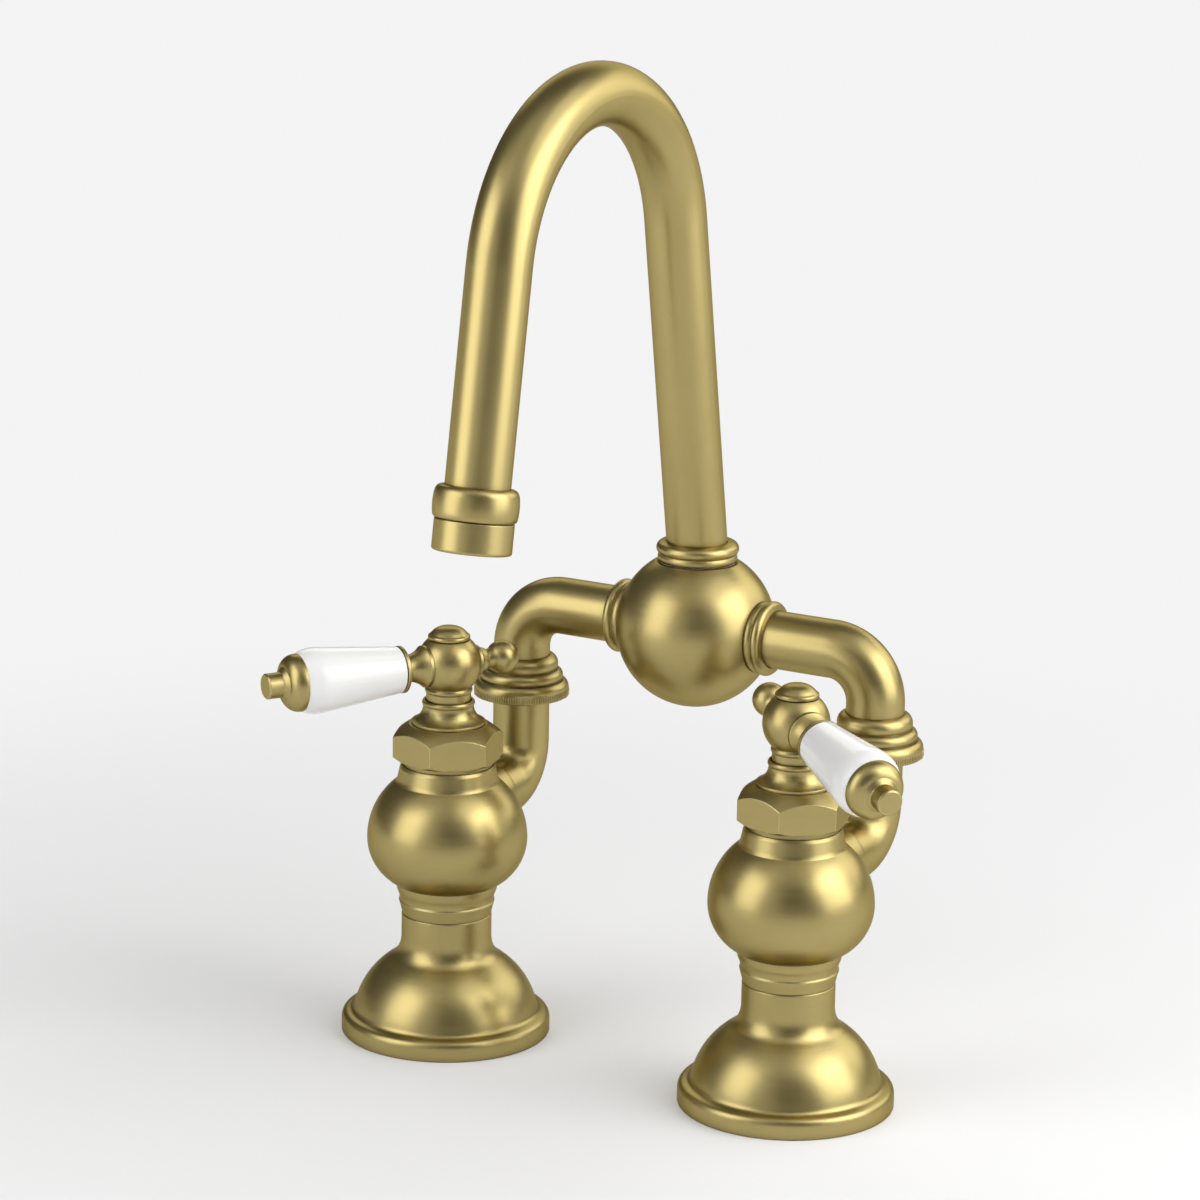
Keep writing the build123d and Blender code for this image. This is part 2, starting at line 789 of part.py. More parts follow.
def bonnet_bell(side):
    """Flared cover that screws on the cartridge's sleeve, with a rolled collar on top."""
    foot = post_foot(side)
    recess_radius = hub_neck_radius + free_gap
    with BuildPart() as bell:
        with BuildSketch(turning_plane(foot, up)):
            with BuildLine():
                base = Polyline(
                    (cartridge_sleeve_radius + fit, nut_top),
                    (bell_foot_radius, nut_top),
                    (bell_foot_radius, nut_top + bell_foot_edge),
                )
                flare = TangentArc((bell_throat_radius, bell_throat_height), base @ 1, tangent=(0, -1))
                collar = ThreePointArc(
                    flare @ 0,
                    (bell_collar_radius, (bell_throat_height + bell_top) / 2),
                    (bell_collar_radius - free_gap, bell_top),
                )
                Polyline(
                    collar @ 1,
                    (recess_radius, bell_top),
                    (recess_radius, bell_top - bell_recess_depth),
                    (spindle_radius + free_gap, bell_top - bell_recess_depth),
                    (spindle_radius + free_gap, bell_web_bottom),
                    (cartridge_sleeve_radius + fit, bell_web_bottom),
                    (cartridge_sleeve_radius + fit, nut_top),
                )
            make_face()
        revolve(axis=Axis(foot, up))
    return save(bell.part, f"{side_names[side]}_bonnet_bell")


def lever_hub(side):
    """Ball hub with a neck and bead below, flats and sockets for the two arms."""
    foot, centre, lever = post_foot(side), handle_centre(side), lever_direction(side)
    bead_top = handle_height - sqrt(hub_radius**2 - (hub_neck_radius + fit) ** 2)
    flat_radius = sqrt(hub_radius**2 - (hub_top - handle_height) ** 2)
    with BuildPart() as hub:
        with BuildSketch(turning_plane(foot, up)):
            with BuildLine():
                neck = Polyline(
                    (spindle_radius + fit, hub_neck_bottom),
                    (hub_neck_radius, hub_neck_bottom),
                    (hub_neck_radius, hub_bead_bottom),
                )
                bead = ThreePointArc(
                    neck @ 1,
                    (hub_bead_radius, (hub_bead_bottom + bead_top) / 2),
                    (hub_neck_radius + fit, bead_top),
                )
                ball = ThreePointArc(
                    bead @ 1,
                    (hub_radius, handle_height),
                    (flat_radius, hub_top),
                )
                Polyline(
                    ball @ 1,
                    (hub_socket_radius, hub_top),
                    (hub_socket_radius, hub_web_top),
                    (screw_radius + fit, hub_web_top),
                    (screw_radius + fit, hub_web_bottom),
                    (spindle_radius + fit, hub_web_bottom),
                    (spindle_radius + fit, hub_neck_bottom),
                )
            make_face()
        revolve(axis=Axis(foot, up))
        for along, seat in ((lever, arm_seat), (-lever, counter_seat)):
            with BuildSketch(Plane(centre + along * seat, z_dir=along)):
                Circle(hub_radius)
            extrude(amount=hub_radius, mode=Mode.SUBTRACT)
            with BuildSketch(Plane(centre + along * arm_root, z_dir=along)):
                Circle(arm_root_radius + fit)
            extrude(amount=hub_radius, mode=Mode.SUBTRACT)
    return save(hub.part, f"{side_names[side]}_lever_hub")


def hub_screw(side):
    """Screw that holds the hub down on the spindle, with a slot in its head."""
    foot = post_foot(side)
    head_top = hub_web_top + screw_head_height
    with BuildPart() as screw:
        with BuildSketch(Plane(foot + up * screw_bottom)):
            Circle(screw_radius)
        extrude(amount=hub_web_top - screw_bottom)
        with BuildSketch(Plane(foot + up * hub_web_top)):
            Circle(screw_head_radius)
        extrude(amount=screw_head_height)
        with BuildSketch(Plane(foot + up * head_top)):
            Rectangle(2 * screw_head_radius, screw_slot_width)
        extrude(amount=-screw_slot_width, mode=Mode.SUBTRACT)
    return save(screw.part, f"{side_names[side]}_hub_screw")


def hub_cap(side):
    """Domed button that plugs the top of the hub."""
    foot = post_foot(side)
    edge_top = hub_top + cap_edge
    with BuildPart() as cap:
        with BuildSketch(turning_plane(foot, up)):
            with BuildLine():
                edge = ThreePointArc(
                    (cap_radius - cap_edge / 3, hub_top),
                    (cap_radius, hub_top + cap_edge / 2),
                    (cap_radius - cap_edge / 4, edge_top),
                )
                crown = TangentArc((0, hub_top + cap_crown), edge @ 1, tangent=(1, 0))
                Polyline(
                    crown @ 0,
                    (0, hub_top - cap_plug_depth),
                    (hub_socket_radius - fit, hub_top - cap_plug_depth),
                    (hub_socket_radius - fit, hub_top),
                    edge @ 0,
                )
            make_face()
        revolve(axis=Axis(foot, up))
    return save(cap.part, f"{side_names[side]}_hub_cap")


def lever_arm(side):
    """Brass arm: root, flare, waist and ferrule, with the rod that carries the grip."""
    centre, lever = handle_centre(side), lever_direction(side)
    with BuildPart() as arm:
        with BuildSketch(turning_plane(centre, lever)):
            with BuildLine():
                root = Polyline(
                    (0, arm_root + fit),
                    (arm_root_radius, arm_root + fit),
                    (arm_root_radius, arm_seat),
                    (arm_flare_radius, arm_seat),
                    (arm_flare_radius, arm_seat + arm_flare_width),
                )
                waist = TangentArc((arm_neck_radius, arm_neck_reach), root @ 1, tangent=(0, -1))
                ferrule = Polyline(
                    waist @ 0,
                    (arm_neck_radius + arm_neck_lip, ferrule_reach - ferrule_edge),
                    (ferrule_radius - ferrule_bevel, ferrule_reach),
                    (ferrule_radius, ferrule_reach + ferrule_edge),
                    (ferrule_radius, grip_start),
                    (rod_radius, grip_start),
                    (rod_radius, rod_reach),
                    (0, rod_reach),
                    (0, arm_root + fit),
                )
            make_face()
        revolve(axis=Axis(centre, lever))
    return save(arm.part, f"{side_names[side]}_lever_arm")


def lever_grip(side):
    """Porcelain grip that tapers from a rounded outer end to the ferrule."""
    centre, lever = handle_centre(side), lever_direction(side)
    with BuildPart() as grip:
        with BuildSketch(turning_plane(centre, lever)):
            with BuildLine():
                small_end = Polyline(
                    (grip_bore_radius, grip_start),
                    (grip_small_radius - grip_edge, grip_start),
                    (grip_small_radius, grip_start + grip_edge),
                    (grip_taper_radius, grip_taper_end),
                )
                belly = TangentArc(small_end @ 1, (grip_end_radius, grip_reach), tangent=small_end % 1)
                Polyline(
                    belly @ 1,
                    (grip_bore_radius, grip_reach),
                    (grip_bore_radius, grip_start),
                )
            make_face()
        revolve(axis=Axis(centre, lever))
    return save(grip.part, f"{side_names[side]}_lever_grip")


def grip_finial(side):
    """Bell-shaped end cap with a small knob, screwed on the rod."""
    centre, lever = handle_centre(side), lever_direction(side)
    throat_middle = (finial_waist_reach + knob_base) / 2 + finial_throat_sag
    with BuildPart() as finial:
        with BuildSketch(turning_plane(centre, lever)):
            with BuildLine():
                rim = Polyline(
                    (rod_radius + fit, grip_reach),
                    (finial_rim_radius, grip_reach),
                    (finial_rim_radius, grip_reach + finial_rim_width),
                )
                bell = TangentArc(rim @ 1, (finial_waist_radius, finial_waist_reach), tangent=(0, 1))
                throat = ThreePointArc(
                    bell @ 1,
                    (finial_throat_radius, throat_middle),
                    (knob_radius, knob_base),
                )
                Polyline(
                    throat @ 1,
                    (knob_radius, knob_reach - knob_edge),
                    (knob_radius - knob_edge, knob_reach),
                    (0, knob_reach),
                    (0, rod_reach + fit),
                    (rod_radius + fit, rod_reach + fit),
                    (rod_radius + fit, grip_reach),
                )
            make_face()
        revolve(axis=Axis(centre, lever))
    return save(finial.part, f"{side_names[side]}_grip_finial")


def counter_ball(side):
    """Short arm opposite the lever: small flange, waist and ball."""
    centre, along = handle_centre(side), -lever_direction(side)
    neck_end = counter_ball_reach - sqrt(counter_ball_radius**2 - counter_neck_radius**2)
    with BuildPart() as counter:
        with BuildSketch(turning_plane(centre, along)):
            with BuildLine():
                root = Polyline(
                    (0, arm_root + fit),
                    (arm_root_radius, arm_root + fit),
                    (arm_root_radius, counter_seat),
                    (counter_flange_radius, counter_seat),
                    (counter_flange_radius, counter_seat + arm_flare_width),
                )
                waist = TangentArc((counter_neck_radius, neck_end), root @ 1, tangent=(0, -1))
                ball = ThreePointArc(
                    waist @ 0,
                    (counter_ball_radius, counter_ball_reach),
                    (0, counter_ball_reach + counter_ball_radius),
                )
                Line(ball @ 1, root @ 0)
            make_face()
        revolve(axis=Axis(centre, along))
    return save(counter.part, f"{side_names[side]}_counter_ball")


def center_ball():
    """Hollow ball of the bridge: two elbow sockets and a bored boss for the spout."""
    centre = bridge_centre()
    flat = ball_flat_height - bridge_height
    boss_top = sqrt(ball_cavity_radius**2 - socket_boss_radius**2)
    with BuildPart() as ball:
        with BuildSketch(turning_plane(centre, up)):
            with BuildLine():
                outer = ThreePointArc((0, -ball_radius), (ball_radius, 0), (ball_flat_radius, flat))
                socket = Polyline(
                    outer @ 1,
                    (glide_ring_radius, flat),
                    (glide_ring_radius, flat - glide_ring_recess),
                    (socket_radius, flat - glide_ring_recess),
                    (socket_radius, flat - socket_depth),
                    (socket_boss_radius, flat - socket_depth),
                    (socket_boss_radius, boss_top),
                )
                cavity = ThreePointArc(socket @ 1, (ball_cavity_radius, 0), (0, -ball_cavity_radius))
                Line(cavity @ 1, outer @ 0)
            make_face()
        revolve(axis=Axis(centre, up))
        for side in (left, right):
            along = Vector(side, 0, 0)
            with BuildSketch(Plane(centre + along * socket_boss_radius, z_dir=along)):
                Circle(tube_radius + fit)
            extrude(amount=ball_radius, mode=Mode.SUBTRACT)
            with BuildSketch(Plane(centre + along * elbow_collar_seat, z_dir=along)):
                Circle(elbow_collar_radius)
            extrude(amount=ball_radius, mode=Mode.SUBTRACT)
        back = Vector(0, 1, 0)
        screw_level = centre + up * (flat - stop_groove_drop)
        with BuildSketch(Plane(screw_level + back * stem_bore_radius, z_dir=back)):
            Circle(stop_screw_radius + fit)
        extrude(amount=ball_radius, mode=Mode.SUBTRACT)
    return save(ball.part, "center_ball")


def glide_ring():
    """Nylon ring that the spout's collar turns on."""
    bottom = bridge_centre() + up * (ball_flat_height - bridge_height - glide_ring_recess)
    with BuildPart() as ring:
        with BuildSketch(Plane(bottom)):
            Circle(glide_ring_radius - fit)
            Circle(socket_radius + fit, mode=Mode.SUBTRACT)
        extrude(amount=glide_ring_thickness - fit)
    return save(ring.part, "spout_glide_ring")


def spout_stem():
    """Turned tail of the spout: two ring grooves and a stop groove over half its turn."""
    foot = Vector(0, bridge_set_back, 0)
    stem_radius = socket_radius - running_fit
    bottom = ball_flat_height - socket_depth - stem_bottom_gap
    tip_reach = socket_radius - stop_groove_depth + free_gap
    stop_play = degrees(asin((stop_screw_tip_radius + fit) / tip_reach))
    groove_start = radians(90 - swivel_each_way - stop_play)
    groove_out = Vector(cos(groove_start), sin(groove_start), 0)
    groove_plane = Plane(origin=foot, x_dir=groove_out, z_dir=groove_out.cross(up))
    stop_level = ball_flat_height - stop_groove_drop
    with BuildPart() as stem:
        with BuildSketch(turning_plane(foot, up)):
            with BuildLine():
                Polyline(
                    (stem_bore_radius, bottom),
                    (stem_radius, bottom),
                    (stem_radius, spout_base),
                    (spout_bore_radius - fit, spout_base),
                    (spout_bore_radius - fit, spout_base + stem_spigot_height),
                    (stem_bore_radius, spout_base + stem_spigot_height),
                    close=True,
                )
            make_face()
        revolve(axis=Axis(foot, up))
        for drop in stem_ring_drops:
            with BuildSketch(turning_plane(foot, up)):
                with Locations((stem_radius, ball_flat_height - drop)):
                    Rectangle(4 * stem_ring_wire, 2 * stem_ring_wire + 2 * fit)
            revolve(axis=Axis(foot, up), mode=Mode.SUBTRACT)
        with BuildSketch(groove_plane):
            with Locations((stem_radius, stop_level)):
                Rectangle(2 * stop_groove_depth, stop_groove_width)
        revolve(
            axis=Axis(foot, up),
            revolution_arc=2 * (swivel_each_way + stop_play),
            mode=Mode.SUBTRACT,
        )
    return save(stem.part, "spout_stem")


def stem_rings():
    """Two rubber rings that seal the spout's tail in its socket."""
    foot = Vector(0, bridge_set_back, 0)
    with BuildPart() as rings:
        with BuildSketch(turning_plane(foot, up)):
            for drop in stem_ring_drops:
                with Locations((socket_radius - running_fit - stem_ring_wire, ball_flat_height - drop)):
                    Circle(stem_ring_wire)
        revolve(axis=Axis(foot, up))
    return save(rings.part, "spout_o_rings")


def stop_screw():
    """Set screw at the back of the ball; its tip runs in the spout's stop groove."""
    back = Vector(0, 1, 0)
    level = Vector(0, bridge_set_back, ball_flat_height - stop_groove_drop)
    tip = socket_radius - stop_groove_depth + free_gap
    with BuildPart() as screw:
        with BuildSketch(Plane(level + back * tip, z_dir=back)):
            Circle(stop_screw_tip_radius)
        extrude(amount=stop_screw_length)
        with BuildSketch(Plane(level + back * (socket_radius + free_gap), z_dir=back)):
            Circle(stop_screw_radius)
        extrude(amount=stop_screw_length - free_gap)
    return save(screw.part, "spout_stop_screw")


def spout_route():
    """Centre line of the gooseneck, from the stem over the arch to the outlet collar."""
    with BuildLine(Plane.YZ) as route:
        bend = JernArc((bridge_set_back, spout_base), (0, 1), spout_set_radius, riser_lean)
        riser = Line(bend @ 1, bend @ 1 + (bend % 1) * riser_length)
        arch = JernArc(riser @ 1, riser % 1, arch_radius, 180 - riser_lean - leg_splay)
        Line(arch @ 1, arch @ 1 + (arch % 1) * (leg_length + leg_tail))
    return route.line


def spout_tube():
    """Gooseneck tube: riser, arch and outlet leg of one bent tube."""
    route = spout_route()
    with BuildPart() as tube:
        with BuildSketch(Plane(route @ 0, z_dir=route % 0)):
            Circle(spout_radius)
            Circle(spout_bore_radius, mode=Mode.SUBTRACT)
        sweep(path=route)
    return save(tube.part, "spout_tube")


def spout_collar():
    """Beaded collar brazed round the foot of the gooseneck; it turns with the spout."""
    foot = Vector(0, bridge_set_back, 0)
    groove = spout_base + spout_collar_lip_height
    top = groove + spout_collar_bead_height
    lip_edge = spout_collar_lip_radius - spout_collar_edge
    route = spout_route()
    with BuildPart() as collar:
        with BuildSketch(turning_plane(foot, up)):
            with BuildLine():
                base = Line((0, spout_base), (lip_edge, spout_base))
                lip = ThreePointArc(
                    base @ 1,
                    (spout_collar_lip_radius, (spout_base + groove) / 2),
                    (lip_edge, groove),
                )
                bead = ThreePointArc(
                    lip @ 1,
                    (spout_collar_radius, groove + spout_collar_bead_rise),
                    (spout_collar_radius - spout_collar_crown_inset, top - spout_collar_edge),
                )
                crown = TangentArc(bead @ 1, (spout_radius + fit, top), tangent=bead % 1)
                Polyline(crown @ 1, (0, top), base @ 0)
            make_face()
        revolve(axis=Axis(foot, up))
        with BuildSketch(Plane(route @ 0, z_dir=route % 0)):
            Circle(spout_radius + fit)
        sweep(path=route, mode=Mode.SUBTRACT)
    return save(collar.part, "spout_collar")


def outlet_frame():
    """Point at the top of the outlet collar and the direction in which water leaves."""
    route = spout_route()
    down = (route % 1).normalized()
    return route @ 1 - down * leg_tail, down


def outlet_collar():
    """Round collar on the end of the spout, with a threaded spigot for the housing."""
    origin, down = outlet_frame()
    bore = spout_radius + fit
    with BuildPart() as collar:
        with BuildSketch(turning_plane(origin, down)):
            with BuildLine():
                lip = Line((bore, 0), (outlet_collar_top_radius, 0))
                upper = ThreePointArc(
                    lip @ 1,
                    outlet_collar_shoulder,
                    (outlet_collar_radius, outlet_collar_belly),
                )
                lower = ThreePointArc(
                    upper @ 1,
                    outlet_collar_skirt,
                    (housing_radius - housing_top_edge, outlet_collar_length),
                )
                Polyline(
                    lower @ 1,
                    (outlet_spigot_radius, outlet_collar_length),
                    (outlet_spigot_radius, outlet_collar_length + outlet_spigot_length),
                    (spout_bore_radius, outlet_collar_length + outlet_spigot_length),
                    (spout_bore_radius, leg_tail + fit),
                    (bore, leg_tail + fit),
                    (bore, 0),
                )
            make_face()
        revolve(axis=Axis(origin, down))
    return save(collar.part, "outlet_collar")


def aerator_housing():
    """Plain ring screwed on the outlet collar, with a turned-in lip that holds the insert."""
    origin, down = outlet_frame()
    top = outlet_collar_length + fit
    bottom = outlet_collar_length + housing_length
    with BuildPart() as housing:
        with BuildSketch(turning_plane(origin, down)):
            with BuildLine():
                wall = Polyline(
                    (outlet_spigot_radius + fit, top),
                    (housing_radius - housing_top_edge, top),
                    (housing_radius, top + housing_top_edge),
                    (housing_radius, bottom - housing_edge),
                )
                edge = TangentArc(wall @ 1, (housing_radius - housing_edge, bottom), tangent=(0, 1))
                Polyline(
                    edge @ 1,
                    (housing_lip_radius, bottom),
                    (housing_lip_radius, bottom - housing_lip_thickness),
                    (outlet_spigot_radius + fit, bottom - housing_lip_thickness),
                    (outlet_spigot_radius + fit, top),
                )
            make_face()
        revolve(axis=Axis(origin, down))
    return save(housing.part, "aerator_housing")


def aerator_insert():
    """Plastic flow insert with rings of holes, resting on the housing's lip."""
    origin, down = outlet_frame()
    bottom = outlet_collar_length + housing_length - housing_lip_thickness
    inner_ring = (screen_inner_radius, screen_inner_count)
    outer_ring = (screen_outer_radius, screen_outer_count)
    with BuildPart() as insert:
        with BuildSketch(Plane(origin + down * (bottom - insert_height), z_dir=down)):
            Circle(insert_radius)
            Circle(screen_hole_radius, mode=Mode.SUBTRACT)
            for ring in (inner_ring, outer_ring):
                with PolarLocations(*ring):
                    Circle(screen_hole_radius, mode=Mode.SUBTRACT)
        extrude(amount=insert_height)
    return save(insert.part, "aerator_insert")


def aerator_washer():
    """Rubber washer between the spigot and the insert."""
    origin, down = outlet_frame()
    top = outlet_collar_length + outlet_spigot_length
    bottom = outlet_collar_length + housing_length - housing_lip_thickness - insert_height
    with BuildPart() as washer:
        with BuildSketch(Plane(origin + down * top, z_dir=down)):
            Circle(insert_radius)
            Circle(spout_bore_radius, mode=Mode.SUBTRACT)
        extrude(amount=bottom - top)
    return save(washer.part, "aerator_washer")


os.makedirs("parts", exist_ok=True)

# Everything that both sides have
for side in (left, right):
    base_flange(side)
    valve_body(side)
    port_collar(side)
    side_tube(side)
    union_spigot(side)
    union_nut(side)
    bridge_elbow(side)
    elbow_collar(side)
    seat_seal(side)
    ceramic_disc(side, disc_seat_height, disc_radius, "fixed_disc")
    ceramic_disc(side, disc_split + disc_lap, disc_radius - free_gap, "moving_disc")
    cartridge_housing(side)
    valve_spindle(side)
    bonnet_nut(side)
    bonnet_bell(side)
    lever_hub(side)
    hub_screw(side)
    hub_cap(side)
    lever_arm(side)
    lever_grip(side)
    grip_finial(side)
    counter_ball(side)

# Seals that both sides share as pairs
base_gaskets()
union_washers()
spindle_rings()

# The middle of the bridge and the spout
center_ball()
glide_ring()
spout_stem()
stem_rings()
stop_screw()
spout_tube()
spout_collar()
outlet_collar()
aerator_housing()
aerator_insert()
aerator_washer()
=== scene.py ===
import json
from math import cos, pi, radians, sin

import bmesh
import bpy
from mathutils import Matrix, Vector


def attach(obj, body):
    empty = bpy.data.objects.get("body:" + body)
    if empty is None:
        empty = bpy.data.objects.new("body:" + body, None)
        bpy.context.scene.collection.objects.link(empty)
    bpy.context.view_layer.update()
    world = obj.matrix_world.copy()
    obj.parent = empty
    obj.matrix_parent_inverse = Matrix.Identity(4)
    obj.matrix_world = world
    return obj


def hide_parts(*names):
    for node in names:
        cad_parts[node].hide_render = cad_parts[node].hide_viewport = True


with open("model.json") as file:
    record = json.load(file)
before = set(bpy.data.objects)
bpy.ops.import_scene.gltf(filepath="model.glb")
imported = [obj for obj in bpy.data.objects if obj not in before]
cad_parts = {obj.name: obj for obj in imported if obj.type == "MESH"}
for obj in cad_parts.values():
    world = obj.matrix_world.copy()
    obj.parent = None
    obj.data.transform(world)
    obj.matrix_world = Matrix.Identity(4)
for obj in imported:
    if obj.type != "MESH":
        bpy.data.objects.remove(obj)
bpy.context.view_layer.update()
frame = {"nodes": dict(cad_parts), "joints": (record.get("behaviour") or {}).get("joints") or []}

# Feet: turned brass with a stepped rim and a dome, hollow below, with a threaded boss for the supply.
# They are turned on a lathe and brushed there, so the fine lines run round their axes. Their edges are made
# lighter, partly as rubbed wear and partly as a painted highlight, and their grooves get painted shade.
nodes = frame["nodes"]
joints = {joint["name"]: joint for joint in frame["joints"]}
sides = ("left", "right")
post_foot = {side: (joints[f"{side}_valve"]["pos_m"][0], 0, 0) for side in sides}
upright = (0, 0, 1)


def input_of(made, label):
    """A node's input by its name, or by its number where names repeat."""
    if label.startswith("input"):
        return made.inputs[int(label[5:])]
    return made.inputs[label.replace("_", " ")]


class Shade:
    """A node's output in one material. Sums on it add Math nodes, and node() adds any other node."""

    def __init__(self, tree, socket=None):
        self.tree = tree
        self.socket = socket

    def node(self, kind, settings=None, output=0, **inputs):
        """Adds a shader node, sets it up, fills its inputs and returns one output."""
        made = self.tree.nodes.new("ShaderNode" + kind)
        for setting, value in (settings or {}).items():
            setattr(made, setting, value)
        for label, value in inputs.items():
            if isinstance(value, Shade):
                self.tree.links.new(value.socket, input_of(made, label))
            else:
                input_of(made, label).default_value = value
        return Shade(self.tree, made.outputs[output])

    def mix(self, share, first, second):
        """A colour between two colours."""
        return self.node("Mix", {"data_type": "RGBA"}, 2, input0=share, input6=first, input7=second)

    def calculate(self, operation, first, second):
        """One calculation with two values."""
        return self.node("Math", {"operation": operation}, input0=first, input1=second)

    def __add__(self, other):
        return self.calculate("ADD", self, other)

    def __radd__(self, other):
        return self.calculate("ADD", other, self)

    def __sub__(self, other):
        return self.calculate("SUBTRACT", self, other)

    def __rsub__(self, other):
        return self.calculate("SUBTRACT", other, self)

    def __mul__(self, other):
        return self.calculate("MULTIPLY", self, other)

    def __rmul__(self, other):
        return self.calculate("MULTIPLY", other, self)


def finish(name, **fixed):
    """A material, its shader with the values that are the same all over, and a Shade to build on."""
    material = bpy.data.materials.new(name)
    material.use_nodes = True
    shader = material.node_tree.nodes["Principled BSDF"]
    for label, value in fixed.items():
        input_of(shader, label).default_value = value
    return material, shader, Shade(material.node_tree)


def feed(shader, label, shade):
    """Leads a Shade to one of the shader's inputs."""
    shade.tree.links.new(shade.socket, input_of(shader, label))


grazing_tint = (0.55, 0.50, 0.40, 1)
brass_dark, brass_light = (0.40, 0.322, 0.129, 1), (0.475, 0.384, 0.161, 1)
# The edge colour is partly rubbed wear and partly a painted highlight; the dark brown is painted shade for
# grooves.
worn_edge_and_highlight, painted_groove_shade = (0.70, 0.61, 0.34, 1), (0.13, 0.096, 0.036, 1)
brush_fineness, grain_fineness, cloud_fineness = (70, 70, 2600), 2600.0, 46.0
edge_radius, groove_reach, brush_relief = 0.00035, 0.0022, 0.00006


def brushed_brass(name, centre=(0, 0, 0), along=upright, line_depth=1.0):
    """Satin brass brushed round an axis, with wear and a painted highlight on its edges and painted shade in
    grooves.
    """
    material, shader, shade = finish(name, Metallic=1.0, Specular_Tint=grazing_tint)
    place = shade.node("TexCoord", output="Object")
    turn = Vector(along).to_track_quat("Z", "Y").to_euler()
    lathe = shade.node("Mapping", {"vector_type": "TEXTURE"}, Vector=place, Location=centre, Rotation=turn)
    stretched = shade.node("Mapping", Vector=lathe, Scale=brush_fineness)
    lines = shade.node("TexNoise", Vector=stretched, Scale=1.0, Detail=3.0, Roughness=0.6)
    grain = shade.node("TexNoise", Vector=lathe, Scale=grain_fineness, Detail=2.0)
    cloud = shade.node("TexNoise", Vector=lathe, Scale=cloud_fineness, Detail=3.0)
    fine = (lines - 0.5) * line_depth + (grain - 0.5) * 0.7
    brass = shade.mix(cloud + fine * 0.6, brass_dark, brass_light)
    rounded = shade.node("Bevel", {"samples": 4}, Radius=edge_radius)
    straight = shade.node("NewGeometry", output="Normal")
    likeness = shade.node(
        "VectorMath", {"operation": "DOT_PRODUCT"}, "Value", input0=rounded, input1=straight,
    )
    # Partly rubbed wear and partly a painted highlight: where the bevel bends the normal, at edges and seams,
    # the colour turns lighter.
    wear_and_highlight_share = shade.node("MapRange", Value=1 - likeness, From_Min=0.008, From_Max=0.11)
    # Painted shade: where ambient occlusion finds the surface closed in, in grooves, creases and between
    # parts, the colour darkens to brown and the roughness rises.
    openness = shade.node("AmbientOcclusion", {"samples": 4}, "AO", Distance=groove_reach)
    groove_shade = shade.node("MapRange", Value=openness, From_Min=0.25, From_Max=0.85, To_Min=1.0, To_Max=0.0)
    edged = shade.mix(wear_and_highlight_share, brass, worn_edge_and_highlight)
    feed(shader, "Base Color", shade.mix(groove_shade * 0.75, edged, painted_groove_shade))
    feed(shader, "Roughness", 0.35 + fine * 0.10 + (cloud - 0.5) * 0.05 + groove_shade * 0.12)
    relief = shade.node("Bump", Strength=0.2, Distance=brush_relief, Height=fine, Normal=rounded)
    feed(shader, "Normal", relief)
    return material


def dress(material, *names):
    """Gives CAD nodes their finished material."""
    for name in names:
        mesh = nodes[name].data
        mesh.materials.clear()
        mesh.materials.append(material)


mm_per_metre = 1000
fewest_steps, steps_per_mm = 5, 1.2
crease_angle = radians(40)


def lathe_outline(corners):
    """Outline points in metres from corners in millimetres: radius, height, and for a corner that the cutter
    rounds, how far before and after it the curve starts and ends."""
    outline = []
    for place, (radius, height, *curve) in enumerate(corners):
        corner = Vector((radius, height))
        if not curve:
            outline.append(corner / mm_per_metre)
            continue
        before = Vector(corners[place - 1][:2]) - corner
        after = Vector(corners[(place + 1) % len(corners)][:2]) - corner
        start = corner + before.normalized() * curve[0]
        end = corner + after.normalized() * curve[1]
        steps = fewest_steps + int(steps_per_mm * sum(curve))
        for step in range(steps + 1):
            share = step / steps
            rounded = (1 - share) ** 2 * start + 2 * share * (1 - share) * corner + share**2 * end
            outline.append(rounded / mm_per_metre)
    return outline


def turn_on_lathe(name, outline, foot, along, facets=128):
    """A closed turned piece: its outline spun round an axis through its foot."""
    aim = Vector(along).to_track_quat("Z", "Y").to_matrix()
    made = bmesh.new()
    rings = []
    for radius, height in outline:
        ring = []
        for place in range(facets if radius > 0 else 1):
            turn = 2 * pi * place / facets
            point = Vector((radius * cos(turn), radius * sin(turn), height))
            ring.append(made.verts.new(Vector(foot) + aim @ point))
        rings.append(ring)
    for before, ring in zip([rings[-1]] + rings, rings):
        if len(before) == len(ring) == 1:
            continue
        for place in range(facets):
            corners = [
                before[place % len(before)], before[(place + 1) % len(before)],
                ring[(place + 1) % len(ring)], ring[place % len(ring)],
            ]
            made.faces.new(list(dict.fromkeys(corners)))
    bmesh.ops.recalc_face_normals(made, faces=made.faces)
    mesh = bpy.data.meshes.new(name)
    made.to_mesh(mesh)
    made.free()
    mesh.shade_smooth()
    mesh.set_sharp_from_angle(angle=crease_angle)
    piece = bpy.data.objects.new(name, mesh)
    bpy.context.scene.collection.objects.link(piece)
    return piece


def place_for(piece, material, body, node):
    """The piece gets its material, rides on its body and stands where a CAD node is."""
    piece.data.materials.append(material)
    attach(piece, body)
    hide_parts(node)


